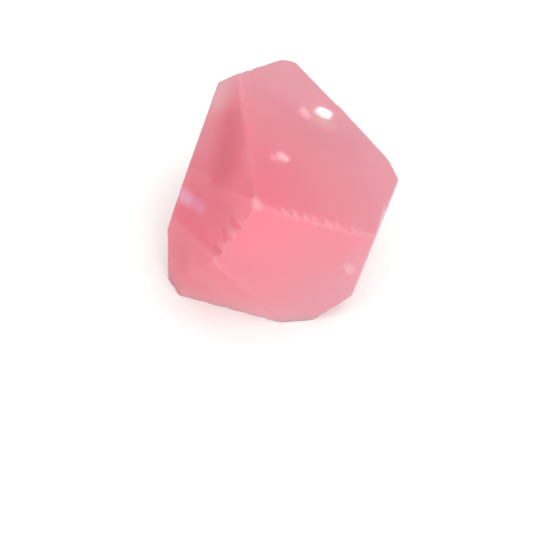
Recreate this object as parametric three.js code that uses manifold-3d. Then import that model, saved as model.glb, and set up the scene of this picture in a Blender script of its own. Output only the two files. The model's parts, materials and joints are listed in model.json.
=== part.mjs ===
// A rough crystal of padparadscha sapphire: one solid piece of pink-orange corundum.
//
// Three big faces, almost square to each other like the corner of a cube, meet at the front corner.
// Narrower faces close the sides and the back, and the crystal rests on a flat broken base.
// Growth steps run along its edges like saw teeth, and low terraces lie on the side and back faces.
//
// Millimetres, +Z up, front towards -Y. The origin is the middle of the bounding box, on the base.

import * as THREE from 'three';
import { mergeVertices } from 'three/addons/utils/BufferGeometryUtils.js';
import Module from 'manifold-3d';

const wasm = await Module();
wasm.setup();

// ---- Driving dimensions ------------------------------------------------------------------------

const ROUGH_BLOCK = 16; // side of the cube that the crystal is cut from

// Each face is a flat cut. azimuth is the way it looks, in degrees counter-clockwise from +X, rise is
// its tilt above the horizon in degrees, and reach is its distance from the middle of the crystal.
const FACES = {
  top: { azimuth: 8, rise: 62.5, reach: 2.95 },
  front: { azimuth: 275, rise: 1.5, reach: 4.1 },
  leftUpper: { azimuth: 185, rise: 47.5, reach: 3.7 },
  leftLower: { azimuth: 203.5, rise: 29, reach: 3.9 },
  frontCorner: { azimuth: 241.7, rise: 51.7, reach: 5.34 },
  frontLeft: { azimuth: 251.5, rise: -12, reach: 4.55 },
  leftFoot: { azimuth: 210, rise: 8.5, reach: 4.3 },
  frontRight: { azimuth: 287.5, rise: -1, reach: 4.6 },
  right: { azimuth: 340.5, rise: -11, reach: 4.55 },
  rightTip: { azimuth: 21, rise: 0, reach: 4.7 },
  rightBack: { azimuth: 41.5, rise: 3, reach: 4.15 },
  backRight: { azimuth: 41.5, rise: 11.5, reach: 4.35 },
  backTip: { azimuth: 101.5, rise: 20.5, reach: 5.25 },
  backSlope: { azimuth: 117, rise: 37, reach: 4.95 },
  back: { azimuth: 95, rise: -1.5, reach: 4.8 },
  backCorner: { azimuth: 132, rise: -6, reach: 4.95 },
  leftBack: { azimuth: 166, rise: 13.5, reach: 3.65 },
  leftBackLower: { azimuth: 162, rise: -3, reach: 3.95 },
  backUndercut: { azimuth: 25, rise: -25.5, reach: 4.4 },
  backHeel: { azimuth: 101, rise: -51, reach: 5.2 },
  frontBreak: { azimuth: 322, rise: -39, reach: 5.08 },
  base: { azimuth: 0, rise: -90, reach: 3.5 },
  // Narrow bevels along the edges of the big faces.
  frontBrow: { azimuth: 300.3, rise: 40.2, reach: 4.9 },
  ridge: { azimuth: 178.6, rise: 82.4, reach: 4.015 },
  leftBrow: { azimuth: 195.4, rise: 38.6, reach: 3.87 },
  leftSill: { azimuth: 206.9, rise: 18.8, reach: 4.154 },
};

// Saw teeth along an edge. The edge is where the two faces of "between" meet, and is measured from
// where the face "from" crosses it. Each tooth [start, length, depth] leaves the edge at its start,
// sinks in a slanting facet, and climbs back to the edge at its end. lean tips the slanting facet from
// the first face of the edge, at 0, to the second, at 1. An edge with a bevel needs teeth deeper than it.
const TOOTHED_EDGES = [
  {
    between: ['leftLower', 'front'],
    from: 'frontCorner',
    lean: 0.3,
    teeth: [[0.15, 0.35, 0.08], [0.6, 0.65, 0.2], [1.5, 0.45, 0.18], [2.3, 0.65, 0.27]],
  },
  {
    between: ['top', 'front'],
    from: 'frontCorner',
    lean: 0.35,
    teeth: [
      [0.1, 0.8, 0.15], [0.7, 0.75, 0.17], [1.15, 0.75, 0.19], [1.6, 0.7, 0.16],
      [1.95, 0.85, 0.2], [2.5, 0.8, 0.17], [3, 1, 0.18],
    ],
  },
  {
    between: ['top', 'leftUpper'],
    from: 'frontCorner',
    lean: 0.5,
    teeth: [[0.6, 0.9, 0.08], [2.3, 1.4, 0.09], [4.2, 0.9, 0.1]],
  },
  {
    between: ['top', 'backSlope'],
    from: 'leftUpper',
    lean: 0.6,
    teeth: [[0.02, 0.5, 0.15], [0.6, 0.55, 0.16], [1.3, 0.6, 0.09]],
  },
  {
    between: ['top', 'rightBack'],
    from: 'backRight',
    lean: 0.75,
    teeth: [[0.9, 0.6, 0.04]],
  },
  {
    between: ['top', 'right'],
    from: 'frontRight',
    lean: 0.8,
    teeth: [[0.1, 2.1, 0.14]],
  },
  {
    between: ['frontLeft', 'base'],
    from: 'leftFoot',
    lean: 0.4,
    teeth: [[0.2, 0.3, 0.05], [0.9, 0.4, 0.05], [1.9, 0.35, 0.08], [2.7, 0.35, 0.08], [3.5, 0.35, 0.06]],
  },
  {
    between: ['leftFoot', 'base'],
    from: 'frontLeft',
    lean: 0.4,
    teeth: [[0.15, 0.4, 0.09], [0.65, 0.3, 0.06]],
  },
  {
    between: ['frontBreak', 'base'],
    from: 'front',
    lean: 0.4,
    teeth: [[0.3, 0.7, 0.05], [1.2, 0.5, 0.07], [2, 0.6, 0.05]],
  },
  {
    between: ['front', 'frontBreak'],
    from: 'base',
    lean: 0.6,
    teeth: [[0.25, 0.4, 0.04], [0.8, 0.35, 0.04]],
  },
  {
    between: ['right', 'backUndercut'],
    from: 'base',
    lean: 0.5,
    teeth: [[0.3, 0.6, 0.12], [1.1, 0.5, 0.1], [1.8, 0.7, 0.14]],
  },
  {
    between: ['back', 'backUndercut'],
    from: 'backHeel',
    lean: 0.5,
    teeth: [[0.1, 0.5, 0.12], [0.7, 0.4, 0.1]],
  },
  {
    between: ['leftBackLower', 'backCorner'],
    from: 'base',
    lean: 0.5,
    teeth: [[0.3, 0.6, 0.12], [1.1, 0.5, 0.15], [1.9, 0.6, 0.1]],
  },
];

// On a face, the foot is the point nearest the crystal's middle, up is the steepest way up, and side
// is level, to the left for someone who looks at the face from outside with +Z up.

// Terraces: a thin layer of the face is missing beyond a straight growth line. heading is the way in
// which it is missing, in degrees from up towards side, and line is the growth line's distance from
// the foot.
const TERRACES = [
  { face: 'back', heading: 40, line: 0.9, depth: 0.12 },
  { face: 'back', heading: 55, line: 2.1, depth: 0.25 },
  { face: 'back', heading: 200, line: 2.2, depth: 0.15 },
  { face: 'leftBack', heading: 20, line: 1.6, depth: 0.08 },
  { face: 'leftBackLower', heading: 160, line: 0.8, depth: 0.1 },
  { face: 'backUndercut', heading: 215, line: 0.6, depth: 0.12 },
  { face: 'rightBack', heading: 120, line: 0.5, depth: 0.1 },
  { face: 'backRight', heading: 90, line: 0.65, depth: 0.08 },
];

// Three-sided growth marks: low pyramids that stand on a face, or the same shape sunk into it. side
// and up place the middle of the mark from the foot, and radius reaches its corners.
const MARKS = [
  { face: 'front', side: 2.5, up: -0.35, radius: 0.32, height: 0.1, raised: true },
  { face: 'backSlope', side: -0.5, up: -0.2, radius: 0.25, height: 0.06, raised: false },
  { face: 'rightBack', side: 1.2, up: 0.2, radius: 0.3, height: 0.08, raised: false },
  { face: 'leftBack', side: -1.5, up: 0.9, radius: 0.28, height: 0.07, raised: false },
  { face: 'leftBack', side: 0.3, up: 0.1, radius: 0.4, height: 0.1, raised: false },
  { face: 'leftBackLower', side: 0.3, up: -1.8, radius: 0.35, height: 0.09, raised: false },
  { face: 'back', side: 0.2, up: 0.1, radius: 0.5, height: 0.13, raised: false },
  { face: 'back', side: 0.9, up: -0.7, radius: 0.25, height: 0.07, raised: false },
  { face: 'back', side: -0.6, up: -1.1, radius: 0.35, height: 0.09, raised: false },
  { face: 'backUndercut', side: 0.8, up: -0.4, radius: 0.4, height: 0.1, raised: false },
  { face: 'backUndercut', side: 1.8, up: -0.9, radius: 0.25, height: 0.07, raised: false },
];
const CLIMB = 0.8; // how far a tooth's end climbs back outwards, for each mm that it goes along the edge
const MARK_ROOT = 0.02; // how far a mark's solid reaches past the face on its flat side

const NOTCH_BLOCK = 8; // side of the cube that each tooth is cut from
const LAYER_BLOCK = 16; // side of the cube that each terrace is cut from

// ---- Planes, edges and corners -----------------------------------------------------------------

function outward({ azimuth, rise }) {
  const turn = THREE.MathUtils.degToRad(azimuth);
  const tilt = THREE.MathUtils.degToRad(rise);
  return new THREE.Vector3(
    Math.cos(tilt) * Math.cos(turn),
    Math.cos(tilt) * Math.sin(turn),
    Math.sin(tilt),
  );
}

function facePlane(name) {
  return { normal: outward(FACES[name]), distance: FACES[name].reach };
}

function planeThrough(point, direction) {
  const normal = direction.clone().normalize();
  return { normal, distance: normal.dot(point) };
}

function flipped(plane) {
  return { normal: plane.normal.clone().negate(), distance: -plane.distance };
}

// The point where three planes meet.
function corner(a, b, c) {
  const bc = new THREE.Vector3().crossVectors(b.normal, c.normal);
  const ca = new THREE.Vector3().crossVectors(c.normal, a.normal);
  const ab = new THREE.Vector3().crossVectors(a.normal, b.normal);
  return new THREE.Vector3()
    .addScaledVector(bc, a.distance)
    .addScaledVector(ca, b.distance)
    .addScaledVector(ab, c.distance)
    .divideScalar(a.normal.dot(bc));
}

// The directions and the foot that places on a face are measured from.
function faceFrame(name) {
  const { normal, distance } = facePlane(name);
  const side = new THREE.Vector3(-normal.y, normal.x, 0).normalize();
  const up = new THREE.Vector3().crossVectors(normal, side);
  const foot = normal.clone().multiplyScalar(distance);
  return { normal, distance, side, up, foot };
}

// The way along the edge of two planes that goes inwards from where the third crosses it.
function wayAlong(a, b, third) {
  const way = new THREE.Vector3().crossVectors(a.normal, b.normal).normalize();
  return way.dot(third.normal) > 0 ? way.negate() : way;
}

// ---- Solids ------------------------------------------------------------------------------------

function solidFrom(geometry) {
  geometry.deleteAttribute('normal');
  geometry.deleteAttribute('uv');
  const welded = mergeVertices(geometry);
  return new wasm.Manifold(new wasm.Mesh({
    numProp: 3,
    vertProperties: new Float32Array(welded.attributes.position.array),
    triVerts: new Uint32Array(welded.index.array),
  }));
}

function cube(side, centre) {
  return solidFrom(new THREE.BoxGeometry(side, side, side).translate(centre.x, centre.y, centre.z));
}

// All that lies on the outer side of a plane, as a big block standing on it.
function outside(plane) {
  const side = 3 * ROUGH_BLOCK;
  const turn = new THREE.Quaternion().setFromUnitVectors(new THREE.Vector3(0, 0, 1), plane.normal);
  const geometry = new THREE.BoxGeometry(side, side, side)
    .translate(0, 0, side / 2 + plane.distance)
    .applyQuaternion(turn);
  return solidFrom(geometry);
}

// What is left of a block inside every plane.
function cutDown(block, planes) {
  return planes.reduce((rest, plane) => rest.subtract(outside(plane)), block);
}

// The wedge that one saw tooth takes out of an edge.
function toothWedge(edge, tooth) {
  const [start, length, depth] = tooth;
  const [first, second] = edge.between.map(facePlane);
  const end = facePlane(edge.from);
  const way = wayAlong(first, second, end);
  const upper = corner(first, second, end).addScaledVector(way, start);
  const lower = upper.clone().addScaledVector(way, length);
  const out = first.normal.clone().lerp(second.normal, edge.lean).normalize();
  const facet = planeThrough(upper, out.clone().multiplyScalar(length).addScaledVector(way, depth));
  const step = planeThrough(lower, way.clone().addScaledVector(out, -CLIMB));
  return cutDown(cube(NOTCH_BLOCK, lower), [flipped(facet), step]);
}

// The thin layer that one terrace takes off a face.
function terraceLayer({ face, heading, line, depth }) {
  const { normal, distance, side, up, foot } = faceFrame(face);
  const turn = THREE.MathUtils.degToRad(heading);
  const towards = up.multiplyScalar(Math.cos(turn)).addScaledVector(side, Math.sin(turn));
  const floor = { normal, distance: distance - depth };
  const riser = planeThrough(foot.clone().addScaledVector(towards, line), towards);
  return cutDown(cube(LAYER_BLOCK, foot), [flipped(floor), flipped(riser)]);
}

// The pyramid of one growth mark, its tip out of the face or into it.
function markPyramid(mark) {
  const { normal, side, up, foot } = faceFrame(mark.face);
  const middle = foot.clone().addScaledVector(side, mark.side).addScaledVector(up, mark.up);
  const tipWay = mark.raised ? normal : normal.clone().negate();
  const cornerWay = new THREE.Vector3().crossVectors(side, tipWay);
  const height = mark.height + MARK_ROOT;
  const placing = new THREE.Matrix4().makeBasis(side, tipWay, cornerWay).setPosition(middle);
  const geometry = new THREE.ConeGeometry(mark.radius, height, 3)
    .translate(0, height / 2 - MARK_ROOT, 0)
    .applyMatrix4(placing);
  return solidFrom(geometry);
}

function crystalSolid() {
  const block = cube(ROUGH_BLOCK, new THREE.Vector3());
  let crystal = cutDown(block, Object.keys(FACES).map(facePlane));
  for (const terrace of TERRACES) {
    crystal = crystal.subtract(terraceLayer(terrace));
  }
  for (const edge of TOOTHED_EDGES) {
    for (const tooth of edge.teeth) {
      crystal = crystal.subtract(toothWedge(edge, tooth));
    }
  }
  for (const mark of MARKS) {
    const pyramid = markPyramid(mark);
    crystal = mark.raised ? crystal.add(pyramid) : crystal.subtract(pyramid);
  }
  return crystal;
}

// ---- The mesh ----------------------------------------------------------------------------------

function geometryFrom(solid) {
  const { vertProperties, triVerts } = solid.getMesh();
  const geometry = new THREE.BufferGeometry();
  geometry.setAttribute('position', new THREE.BufferAttribute(vertProperties, 3));
  geometry.setIndex(new THREE.BufferAttribute(triVerts, 1));
  return geometry;
}

// Moves the middle of the bounding box's underside to the origin.
function standOnOrigin(geometry) {
  geometry.computeBoundingBox();
  const { min, max } = geometry.boundingBox;
  return geometry.translate(-(min.x + max.x) / 2, -(min.y + max.y) / 2, -min.z);
}

const pinkOrange = new THREE.MeshStandardMaterial({
  color: '#e8889a',
  roughness: 0.2,
  metalness: 0,
  flatShading: true,
});

const crystal = new THREE.Mesh(standOnOrigin(geometryFrom(crystalSolid())), pinkOrange);
crystal.name = 'sapphire_crystal';

const part = new THREE.Group();
part.add(crystal);

export default part;
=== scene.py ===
# A rough padparadscha sapphire crystal on a pale studio floor.
#
# The crystal's skin is laid evenly over the solid's faces, and its edges are worn round. It is
# see-through salmon-pink corundum with a slight milkiness. Colour zones lie in the stone, each at a
# place given in millimetres; the rose on the left is partly painted shade, and a band beside the ridge
# is painted shade. Edges are paler from wear and painted highlight, hollows darker with painted shade,
# and small marks add painted highlights, painted light and a painted reflection.

import json
import math

import bpy
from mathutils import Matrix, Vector

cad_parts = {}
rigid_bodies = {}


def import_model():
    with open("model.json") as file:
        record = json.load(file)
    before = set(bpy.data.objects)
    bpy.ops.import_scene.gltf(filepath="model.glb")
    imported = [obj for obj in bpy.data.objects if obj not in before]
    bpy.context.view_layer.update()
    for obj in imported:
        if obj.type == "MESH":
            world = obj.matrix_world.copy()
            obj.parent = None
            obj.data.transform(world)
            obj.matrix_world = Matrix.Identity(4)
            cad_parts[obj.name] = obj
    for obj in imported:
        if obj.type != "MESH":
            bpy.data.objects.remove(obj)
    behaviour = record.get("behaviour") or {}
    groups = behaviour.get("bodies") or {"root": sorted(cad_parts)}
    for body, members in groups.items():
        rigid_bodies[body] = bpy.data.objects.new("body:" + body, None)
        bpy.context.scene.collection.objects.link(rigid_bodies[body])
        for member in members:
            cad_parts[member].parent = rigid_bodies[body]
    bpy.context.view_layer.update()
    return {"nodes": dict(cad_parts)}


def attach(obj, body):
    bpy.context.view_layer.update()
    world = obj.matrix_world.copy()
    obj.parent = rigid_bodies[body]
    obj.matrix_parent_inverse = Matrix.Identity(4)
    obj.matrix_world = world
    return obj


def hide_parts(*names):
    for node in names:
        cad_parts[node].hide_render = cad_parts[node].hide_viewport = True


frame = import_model()

MM = 0.001
UP = (0, 0, 1)
SOLID = "sapphire_crystal"


# ---- Working on meshes ---------------------------------------------------------------------------

def pick_only(thing):
    """Selects one object and makes it the active one."""
    bpy.ops.object.select_all(action="DESELECT")
    thing.select_set(True)
    bpy.context.view_layer.objects.active = thing


def copy_of(thing, name):
    """A free-standing copy with a mesh of its own."""
    pick_only(thing)
    bpy.ops.object.duplicate()
    copy = bpy.context.active_object
    bpy.ops.object.parent_clear(type="CLEAR_KEEP_TRANSFORM")
    copy.name = name
    return copy


def resize(thing, factor):
    """Scales a mesh about the origin and leaves its object unscaled."""
    pick_only(thing)
    bpy.ops.object.mode_set(mode="EDIT")
    bpy.ops.mesh.select_all(action="SELECT")
    bpy.ops.transform.resize(value=(factor, factor, factor), center_override=(0, 0, 0))
    bpy.ops.object.mode_set(mode="OBJECT")


def finish_with(thing, kind, **settings):
    """Adds a modifier with these settings and applies it."""
    pick_only(thing)
    modifier = thing.modifiers.new(kind.title(), kind)
    for name, value in settings.items():
        setattr(modifier, name, value)
    bpy.ops.object.modifier_apply(modifier=modifier.name)


# ---- Shader maths --------------------------------------------------------------------------------

class Value:
    """A shader socket that can be added, subtracted and multiplied."""

    def __init__(self, paint, socket):
        self.paint = paint
        self.socket = socket

    def _math(self, operation, first, second):
        return self.paint.node("ShaderNodeMath", {"operation": operation}, {0: first, 1: second})

    def __add__(self, other):
        return self._math("ADD", self, other)

    def __sub__(self, other):
        return self._math("SUBTRACT", self, other)

    def __rsub__(self, other):
        return self._math("SUBTRACT", other, self)

    def __mul__(self, other):
        return self._math("MULTIPLY", self, other)

    __radd__ = __add__
    __rmul__ = __mul__


class Paint:
    """The nodes of a material or a world, around its main shader."""

    def __init__(self, owner, shader):
        owner.use_nodes = True
        self.tree = owner.node_tree
        self.shader = self.tree.nodes[shader]

    def node(self, kind, settings=None, inputs=None, result=0):
        """A node of a type, with its settings, its sockets' values or links, and one of its results."""
        made = self.tree.nodes.new(kind)
        for name, value in (settings or {}).items():
            setattr(made, name, value)
        for key, value in (inputs or {}).items():
            self.feed(made.inputs[key], value)
        return Value(self, made.outputs[result])

    def feed(self, socket, value):
        """Links a value to a socket, or sets the socket to it."""
        if isinstance(value, Value):
            self.tree.links.new(value.socket, socket)
        else:
            socket.default_value = value

    def set(self, **inputs):
        """Feeds the main shader; an underscore stands for a space in a socket's name."""
        for name, value in inputs.items():
            self.feed(self.shader.inputs[name.replace("_", " ")], value)

    def place(self):
        """Where on the object a point is, in metres."""
        return self.node("ShaderNodeTexCoord", result="Object")

    def blend(self, factor, first, second):
        """A colour between two colours."""
        settings = {"data_type": "RGBA", "clamp_factor": True}
        return self.node("ShaderNodeMix", settings, {0: factor, 6: first, 7: second}, result=2)

    def vector(self, operation, first, second=None, result=0, **inputs):
        """A Vector Math node."""
        sockets = {0: first, **inputs}
        if second is not None:
            sockets[1] = second
        return self.node("ShaderNodeVectorMath", {"operation": operation}, sockets, result)

    def noise(self, place, scale):
        """Soft clouds from 0 to 1."""
        return self.node("ShaderNodeTexNoise", None, {"Vector": place, "Scale": scale}, result="Fac")

    def distance(self, place, point):
        """How far a place is from a point."""
        return self.vector("DISTANCE", place, point, result="Value")

    def along(self, place, direction):
        """How far a place lies from the origin in a direction."""
        return self.vector("DOT_PRODUCT", place, direction, result="Value")

    def from_line(self, place, start, end):
        """How far a place is from the straight stretch between two points."""
        way = Vector(end) - Vector(start)
        beyond = self.vector("SUBTRACT", place, start)
        share = self.along(beyond, way / way.length_squared)
        share = self.node("ShaderNodeClamp", None, {"Value": share})
        nearest = self.vector("SCALE", tuple(way), Scale=share)
        return self.vector("DISTANCE", beyond, nearest, result="Value")

    def ramp(self, value, low, high, start=0.0, end=1.0):
        """A smooth step of a value from start to end as it goes from low to high."""
        settings = {"interpolation_type": "SMOOTHSTEP"}
        inputs = {"Value": value, "From Min": low, "From Max": high, "To Min": start, "To Max": end}
        return self.node("ShaderNodeMapRange", settings, inputs)


# ---- The crystal ---------------------------------------------------------------------------------

SKIN_STEP = 0.065  # mm between the skin's points
WEAR_ROUNDS = 3  # rounds of smoothing that wear the edges
WEAR = 0.5  # how far each round moves a point towards its neighbours
FLOOR_GAP = 0.001  # mm the skin is drawn in, so that its base isn't in the floor's own plane
WORK = 10 * MM  # the unit that the skin is made in: at this size it lies flattest on the faces
MERGE = 0.00001  # in that unit, points that are nearer than this are one


def crystal_skin():
    """An even skin on the solid's faces, with its edges worn round."""
    guide = copy_of(frame["nodes"][SOLID], "guide")
    resize(guide, 1 / WORK)
    bpy.ops.object.mode_set(mode="EDIT")
    bpy.ops.mesh.select_all(action="SELECT")
    bpy.ops.mesh.remove_doubles(threshold=MERGE)
    bpy.ops.mesh.normals_make_consistent(inside=False)
    bpy.ops.object.mode_set(mode="OBJECT")

    skin = copy_of(guide, "crystal")
    finish_with(skin, "REMESH", mode="VOXEL", voxel_size=SKIN_STEP * MM / WORK)
    finish_with(skin, "SHRINKWRAP", target=guide, wrap_method="NEAREST_SURFACEPOINT")
    finish_with(skin, "SMOOTH", factor=WEAR, iterations=WEAR_ROUNDS)
    finish_with(skin, "DISPLACE", strength=-FLOOR_GAP * MM / WORK, mid_level=0.0)

    resize(skin, WORK)
    bpy.ops.object.shade_smooth()
    bpy.data.objects.remove(guide)
    return skin


# Tints.
SALMON = (1.0, 0.215, 0.31, 1.0)
DUSTY_PINK = (0.84, 0.40, 0.48, 1.0)
ROSE = (0.88, 0.10, 0.18, 1.0)
DEEP_ROSE = (0.76, 0.10, 0.18, 1.0)
DARK_ROSE = (0.70, 0.06, 0.13, 1.0)
DULL_ROSE = (0.62, 0.20, 0.27, 1.0)
DUSKY = (0.80, 0.26, 0.34, 1.0)
PALE_ROSE = (1.0, 0.54, 0.60, 1.0)
# pale pink of the worn edges, partly a painted highlight on them
WEAR_AND_SHEEN_PINK = (1.0, 0.60, 0.66, 1.0)
# pale pink of painted highlights
HIGHLIGHT_PINK = (1.0, 0.62, 0.66, 1.0)
VIOLET = (0.88, 0.36, 0.68, 1.0)
LILAC = (1.0, 0.52, 0.70, 1.0)
# tint of a painted reflection inside the stone
STRAW_REFLECTION = (0.9, 0.56, 0.52, 1.0)
PINK_DEPTH = (1.0, 0.45, 0.50, 1.0)  # what colour is left of the light that goes through the stone

MILKINESS = 0.5  # share of the light that the stone scatters instead of letting through
DEPTH = 60.0  # how strongly the stone soaks up light, per metre

# Zones of colour. Lengths and places are in mm.
CLOUDS_PER_MM = 0.35  # in the slow drift of the zones' borders
CLOUD_MIDDLE = 0.5  # the clouds' middle value, which moves no border
SALMON_HEART = (-1.4, -3.2, 6.4)  # the middle of the salmon, near the front corner
PALE_RADIUS = 7.8  # how far from it the stone is palest
PALE_DRIFT = 2.0  # how far the drift moves that border
# The deeper rose on the left is partly the stone's colour and partly painted shade on that side.
ROSE_HEART = (-3.8, -2.9, 2.9)  # the middle of the deeper rose on the left, behind the front
ROSE_CORE = 1.0  # how far from it the rose is full
ROSE_RADIUS = 4.4  # how far from it the rose has gone
ROSE_SHARE = 0.85
FRONT_WAY = (0.087, -0.996, 0.026)  # the way that the front face looks
FRONT_REACH = 4.49  # from the origin to the front face, along that direction
RIDGE_SIDE = (-0.994, -0.108, 0.0)  # points away from the ridge, to its left
RIDGE_REACH = 1.498  # from the origin to the ridge, along that direction
BORDER = 0.12  # how wide the border is where a zone stops at a face or at the ridge
SHADE_BAND_ENDS = ((-2.0, 0.3, 6.99), (-2.32, -1.78, 6.6))  # a band of painted shade left of the ridge
SHADE_BAND_WIDTH = 1.5
SHADE_BAND_SHARE = 0.7

# Marks in the stone and marks of painted shade, painted highlight, painted light and a painted
# reflection: the ends of each mark's middle line and its half width in mm, its share, its tint.
MARKS = {
    "shade on the left": ((-3.3, -2.0, 5.3), (-2.3, -3.3, 6.0), 1.4, 0.3, DARK_ROSE),
    "shade at the left end": ((-3.97, -2.75, 3.3), (-4.1, -2.8, 2.0), 0.9, 0.25, DARK_ROSE),
    "violet streak": ((-4.0, -1.5, 4.6), (-3.2, -2.6, 5.12), 0.45, 0.55, VIOLET),
    "head of the streak": ((-4.15, -1.35, 4.5), (-3.8, -1.8, 4.75), 0.5, 0.6, LILAC),
    "frosted corner": ((-2.1, 2.8, 7.0), (-2.6, 1.95, 6.6), 1.05, 0.8, PALE_ROSE),
    # Painted highlight along the left brow.
    "painted highlight on the left brow": ((-3.6, -1.0, 5.5), (-2.9, -1.9, 6.05), 0.3, 0.15, HIGHLIGHT_PINK),
    "dusky band": ((-0.8, 0.4, 6.95), (2.4, 0.4, 5.4), 1.8, 0.45, DUSKY),
    # Painted reflection inside the stone, under the bright glint.
    "painted reflection under the glint": ((1.6, 1.55, 5.7), (1.95, 1.4, 5.5), 0.55, 0.55, STRAW_REFLECTION),
    # Painted highlight on the front corner's small facet.
    "front corner": ((-1.05, -4.2, 7.4), (-0.95, -4.3, 7.3), 0.35, 0.35, HIGHLIGHT_PINK),
    # Painted highlight on the small raised mark on the front.
    "chip": ((2.62, -4.19, 3.45), (2.76, -4.19, 3.05), 0.32, 0.7, HIGHLIGHT_PINK),
    # Painted highlights on the chips along the edge above the front.
    "painted highlight on chip 1 above the front": ((-0.24, -4.26, 7.05), (-0.17, -4.35, 6.91), 0.15, 0.1, HIGHLIGHT_PINK),
    "painted highlight on chip 2 above the front": ((0.03, -4.19, 6.96), (0.26, -4.29, 6.72), 0.16, 0.22, HIGHLIGHT_PINK),
    "painted highlight on chip 3 above the front": ((0.45, -4.13, 6.77), (0.64, -4.27, 6.51), 0.2, 0.38, PALE_ROSE),
    "painted highlight on chip 4 above the front": ((0.8, -4.14, 6.55), (0.95, -4.24, 6.36), 0.18, 0.25, HIGHLIGHT_PINK),
    "painted highlight on chip 5 above the front": ((1.15, -4.11, 6.38), (1.34, -4.22, 6.15), 0.18, 0.28, HIGHLIGHT_PINK),
    "painted highlight on chip 6 above the front": ((1.46, -4.08, 6.22), (1.58, -4.18, 6.04), 0.16, 0.22, HIGHLIGHT_PINK),
    "painted highlight on chip 7 above the front": ((1.73, -4.03, 6.1), (1.93, -4.14, 5.87), 0.2, 0.36, PALE_ROSE),
    # Painted shade in the pockets left of the front.
    "painted shade in pocket 1 left of the front": ((-1.94, -3.98, 6.16), (-1.9, -4.23, 6.04), 0.25, 0.4, DEEP_ROSE),
    "painted shade in pocket 2 left of the front": ((-2.27, -4.05, 5.57), (-2.23, -4.4, 5.39), 0.22, 0.4, DEEP_ROSE),
    "painted shade in pocket 3 left of the front": ((-2.7, -4.33, 4.66), (-2.56, -4.52, 4.7), 0.32, 0.42, DULL_ROSE),
    # Painted light on the treads left of the front, which face up.
    "painted light on tread 1 left of the front": ((-1.55, -4.25, 6.62), (-1.39, -4.57, 6.65), 0.18, 0.12, HIGHLIGHT_PINK),
    "painted light on tread 2 left of the front": ((-1.98, -4.32, 5.84), (-1.82, -4.68, 5.85), 0.24, 0.28, PALE_ROSE),
    "painted light on tread 3 left of the front": ((-2.35, -4.43, 5.17), (-2.14, -4.76, 5.27), 0.2, 0.18, PALE_ROSE),
    "painted light on tread 4 left of the front": ((-2.45, -4.45, 4.9), (-2.38, -4.6, 4.88), 0.22, 0.2, PALE_ROSE),
    # Painted light on the foot of the left, and just above the foot.
    "painted light on the foot of the left": ((-3.4, -3.5, 0.3), (-0.8, -4.3, 0.1), 1.8, 0.3, PALE_ROSE),
    "painted light above the foot": ((-3.3, -4.0, 2.2), (-2.5, -4.15, 1.8), 1.3, 0.2, PALE_ROSE),
    "pale end of the ridge": ((-1.4, -1.6, 7.35), (-1.25, -2.9, 7.42), 0.35, 0.14, PALE_ROSE),
    # Painted shade in the top.
    "painted shade in the top": ((-0.9, 1.9, 6.95), (0.4, 1.5, 6.35), 1.1, 0.2, DULL_ROSE),
    # Painted light on the foot of the front.
    "painted light on the foot of the front": ((-0.2, -4.45, 0.0), (1.3, -4.4, 0.05), 1.1, 0.35, PALE_ROSE),
    # Painted shade along the lower seam.
    "painted shade on the lower seam": ((-2.1, -4.6, 3.2), (-0.3, -4.5, 0.4), 0.22, 0.24, ROSE),
}


# Wear and painted highlight make edges paler; painted shade makes hollows darker. Sharpness is below
# 0.5 in a hollow, 0.5 on a flat face and above it on an edge.
WEAR_AND_SHEEN_FROM = 0.505  # the sharpness at which an edge starts to be paler, from wear and painted highlight
WEAR_AND_SHEEN_FULL = 0.58  # the sharpness at which it is palest
WEAR_AND_SHEEN_SHARE = 0.24
PATCHES_PER_MM = 2.5  # in the clouds that break the paler edges up into patches
PATCH_EDGE = (0.35, 0.6)  # the clouds' values at which a patch starts and is full
BETWEEN_PATCHES = 0.3  # what is left of the paleness between patches
WEAR_AND_SHEEN_LOW = 3.0  # mm above the base; the edges below it are hardly paler
WEAR_AND_SHEEN_HIGH = 5.5  # mm above the base; the edges above it are palest
NEAR_BASE = 0.1  # what is left of the paleness on the low edges
HOLLOW_FROM = 0.495  # the sharpness at which a hollow starts to be darker, with painted shade
HOLLOW_FULL = 0.45  # the sharpness at which it is darkest
HOLLOW_SHADE_SHARE = 0.35


def zones(paint, place):
    """Salmon near the front corner, dusty pink far from it, rose on the left that is partly painted
    shade, and a band of painted shade left of the ridge.
    """
    drift = paint.noise(place, CLOUDS_PER_MM) - CLOUD_MIDDLE
    from_salmon = paint.distance(place, SALMON_HEART) + drift * PALE_DRIFT
    color = paint.blend(paint.ramp(from_salmon, 0.0, PALE_RADIUS), SALMON, DUSTY_PINK)

    behind_front = paint.ramp(paint.along(place, FRONT_WAY), FRONT_REACH, FRONT_REACH - BORDER)
    # Rose on the left, partly painted shade.
    rose_and_shade = paint.ramp(paint.distance(place, ROSE_HEART) + drift, ROSE_RADIUS, ROSE_CORE)
    color = paint.blend(rose_and_shade * behind_front * ROSE_SHARE, color, ROSE)

    left_of_ridge = paint.ramp(paint.along(place, RIDGE_SIDE), RIDGE_REACH, RIDGE_REACH + BORDER)
    # Painted shade in a band left of the ridge.
    shade_band = paint.ramp(paint.from_line(place, *SHADE_BAND_ENDS), SHADE_BAND_WIDTH, 0.0)
    return paint.blend(shade_band * left_of_ridge * SHADE_BAND_SHARE, color, DEEP_ROSE)


def with_marks(paint, place, color):
    """Lays the marks over a colour, one after another."""
    for start, end, width, share, tint in MARKS.values():
        mark = paint.ramp(paint.from_line(place, start, end), width, 0.0)
        color = paint.blend(mark * share, color, tint)
    return color


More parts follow.
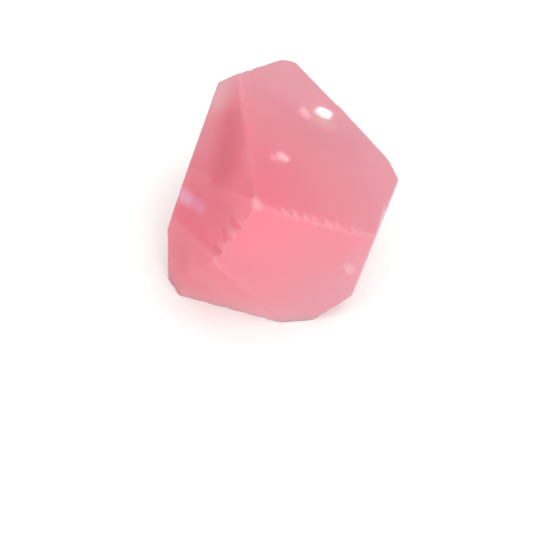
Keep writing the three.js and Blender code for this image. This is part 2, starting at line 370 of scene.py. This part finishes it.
def with_paler_edges_and_hollow_shade(paint, place, color):
    """Makes edges paler, in patches, from wear and painted highlight, and hollows darker with painted
    shade.
    """
    sharpness = paint.node("ShaderNodeNewGeometry", result="Pointiness")
    patches = paint.ramp(paint.noise(place, PATCHES_PER_MM), *PATCH_EDGE, BETWEEN_PATCHES)
    height_share = paint.ramp(paint.along(place, UP), WEAR_AND_SHEEN_LOW, WEAR_AND_SHEEN_HIGH, NEAR_BASE)
    # Paler edges: wear and a painted highlight.
    worn = paint.ramp(sharpness, WEAR_AND_SHEEN_FROM, WEAR_AND_SHEEN_FULL) * patches * height_share
    color = paint.blend(worn * WEAR_AND_SHEEN_SHARE, color, WEAR_AND_SHEEN_PINK)
    # Painted shade in the hollows.
    hollow_shade = paint.ramp(sharpness, HOLLOW_FROM, HOLLOW_FULL)
    return paint.blend(hollow_shade * HOLLOW_SHADE_SHARE, color, DEEP_ROSE)


def sapphire():
    """See-through corundum, slightly milky, with a thin gloss on its faces."""
    material = bpy.data.materials.new("sapphire")
    paint = Paint(material, "Principled BSDF")
    place = paint.vector("SCALE", paint.place(), Scale=1 / MM)
    color = with_paler_edges_and_hollow_shade(paint, place, with_marks(paint, place, zones(paint, place)))

    paint.set(
        Base_Color=color,
        Roughness=0.35,
        IOR=1.77,
        Specular_IOR_Level=0.2,
        Transmission_Weight=1 - MILKINESS,
        Subsurface_Weight=1.0,
        Subsurface_Radius=(1.0, 0.35, 0.4),
        Subsurface_Scale=MM,
        Coat_Weight=0.12,
        Coat_Roughness=0.018,
        Coat_IOR=1.6,
    )
    inside = {"Color": PINK_DEPTH, "Density": DEPTH}
    absorption = paint.node("ShaderNodeVolumeAbsorption", None, inside)
    paint.feed(paint.tree.nodes["Material Output"].inputs["Volume"], absorption)
    return material


crystal = crystal_skin()
crystal.data.materials.clear()
crystal.data.materials.append(sapphire())
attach(crystal, "root")
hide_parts(SOLID)


# ---- The studio ----------------------------------------------------------------------------------

FLOOR_WHITE = (0.86, 0.86, 0.845, 1.0)
FLOOR_SIZE = 4.0  # metres
DAYLIGHT = (1.0, 1.0, 0.985, 1.0)
DAYLIGHT_GLOW = 0.84
MIDDLE = (0, 0, 4)  # mm, the middle of the crystal

# The lamps: place, target, width, height and glow, and the turn about the lamp's own axis in degrees.
# The four big ones are soft. The small ones are mirrored in the top face as glints.
LAMPS = {
    "sky": ((250, 100, 500), MIDDLE, 500, 500, 1.72, 0),
    "front": ((50, -450, 250), MIDDLE, 400, 300, 3.0, 0),
    "right": ((350, -300, 200), MIDDLE, 150, 150, 3.2, 0),
    "corner": ((-227, -159, 288), MIDDLE, 100, 100, 7.0, 0),
    "bright glint": ((145.4, 189.8, 86.9), (1.72, 2.05, 5.63), 2.7, 1.15, 130, -150),
    "faint glint": ((143.2, 189.5, 89.4), (0.95, 1.62, 6.05), 2.4, 1.2, 17, -162),
    "lower glint": ((144.0, 182.9, 95.4), (0.02, -1.31, 6.74), 2.5, 0.6, 46, -165),
    "lower faint glint": ((143.2, 182.4, 96.6), (-0.30, -1.62, 6.93), 2.5, 0.6, 14, -165),
}


def studio_floor():
    """A wide pale floor under the crystal."""
    bpy.ops.object.select_all(action="DESELECT")
    bpy.ops.mesh.primitive_plane_add(size=FLOOR_SIZE, location=(0, 0, 0))
    floor = bpy.context.active_object
    floor.name = "floor"
    material = bpy.data.materials.new("pale floor")
    paint = Paint(material, "Principled BSDF")
    paint.set(Base_Color=FLOOR_WHITE, Roughness=0.8)
    floor.data.materials.append(material)


def aim(thing, target):
    """Turns a lamp to face a target."""
    way = target - thing.location
    thing.rotation_euler = way.to_track_quat("-Z", "Y").to_euler()


def softbox(name, place, target, width, height, glow, turn):
    """A flat lamp that faces a target, all in mm. Its glow is how bright its face looks."""
    bpy.ops.object.light_add(type="AREA", location=Vector(place) * MM)
    lamp = bpy.context.active_object
    lamp.name = name
    lamp.data.shape = "RECTANGLE"
    lamp.data.size = width * MM
    lamp.data.size_y = height * MM
    lamp.data.energy = glow * math.pi * lamp.data.size * lamp.data.size_y
    aim(lamp, Vector(target) * MM)
    lamp.rotation_euler.rotate_axis("Z", math.radians(turn))


def studio_light():
    """Even daylight and the lamps."""
    world = bpy.context.scene.world or bpy.data.worlds.new("studio")
    bpy.context.scene.world = world
    Paint(world, "Background").set(Color=DAYLIGHT, Strength=DAYLIGHT_GLOW)
    for name, lamp in LAMPS.items():
        softbox(name, *lamp)


CAMERA_PLACE = (-0.28, -48.76, 61.28)  # mm
CAMERA_DIP = 52.67  # degrees below the horizon
LENS = 120  # mm
SENSOR = 36  # mm, how wide the camera's sensor is
NEAREST = MM  # the camera sees nothing nearer than this


def camera():
    """Looks down on the front corner."""
    bpy.ops.object.camera_add(location=Vector(CAMERA_PLACE) * MM)
    view = bpy.context.active_object
    view.data.lens = LENS
    view.data.sensor_width = SENSOR
    view.data.clip_start = NEAREST
    view.rotation_euler = (math.radians(90 - CAMERA_DIP), 0, 0)
    bpy.context.scene.camera = view


studio_floor()
studio_light()
camera()
bpy.context.scene.view_settings.view_transform = "Standard"
